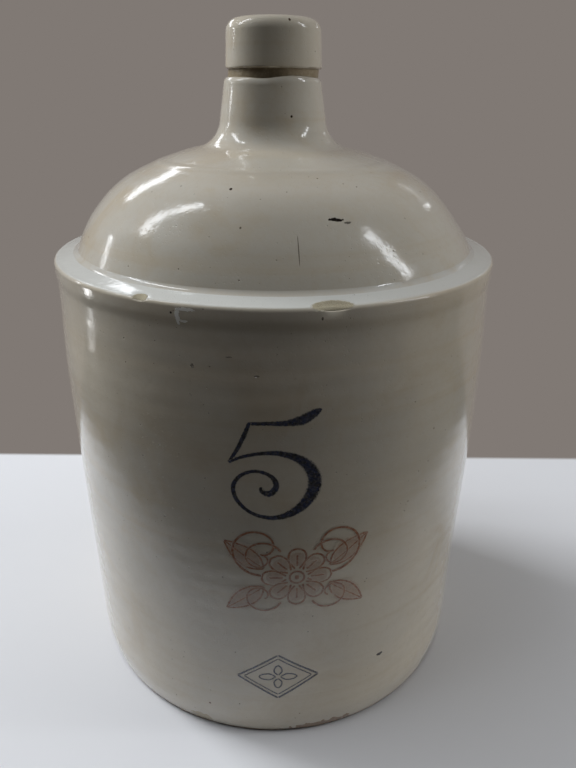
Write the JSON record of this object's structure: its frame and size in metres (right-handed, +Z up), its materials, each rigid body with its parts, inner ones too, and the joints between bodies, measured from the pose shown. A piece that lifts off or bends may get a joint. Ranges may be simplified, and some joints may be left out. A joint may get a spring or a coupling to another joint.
{
  "type": "stoneware jug",
  "caption": "Large salt-and-cream glazed stoneware shoulder jug: a straight crock body, ledged rim, domed top, flared neck with a turned mouth collar, and a strap handle.",
  "frame": {"origin": "centre of the foot, on the surface that the jug stands on", "axes": "+Z up along the jug's axis, -Y the decorated front, +Y the handle side, +X to the right seen from the front"},
  "size_m": [0.3048, 0.3048, 0.4599],
  "materials": {
    "bare_clay": "unglazed, toasted brown",
    "inner_slip": "thin brown slip",
    "body_glaze": "glossy off-white glaze over thrown clay",
    "dome_glaze": "glossy off-white glaze",
    "lute_glaze": "glossy off-white glaze, pooled",
    "collar_glaze": "glossy off-white glaze",
    "handle_glaze": "glossy off-white glaze",
    "cobalt_ink": "stamped cobalt colour under the glaze",
    "iron_ink": "stamped iron-red colour under the glaze"
  },
  "bodies": {
    "root": {"floor_slab": "bare_clay", "foot_coil": "inner_slip", "crock_wall": "body_glaze", "shoulder_dome": "dome_glaze", "shoulder_lute": "lute_glaze", "neck": "dome_glaze", "mouth_collar": "collar_glaze", "strap_handle": "handle_glaze"}
  },
  "joints": []
}
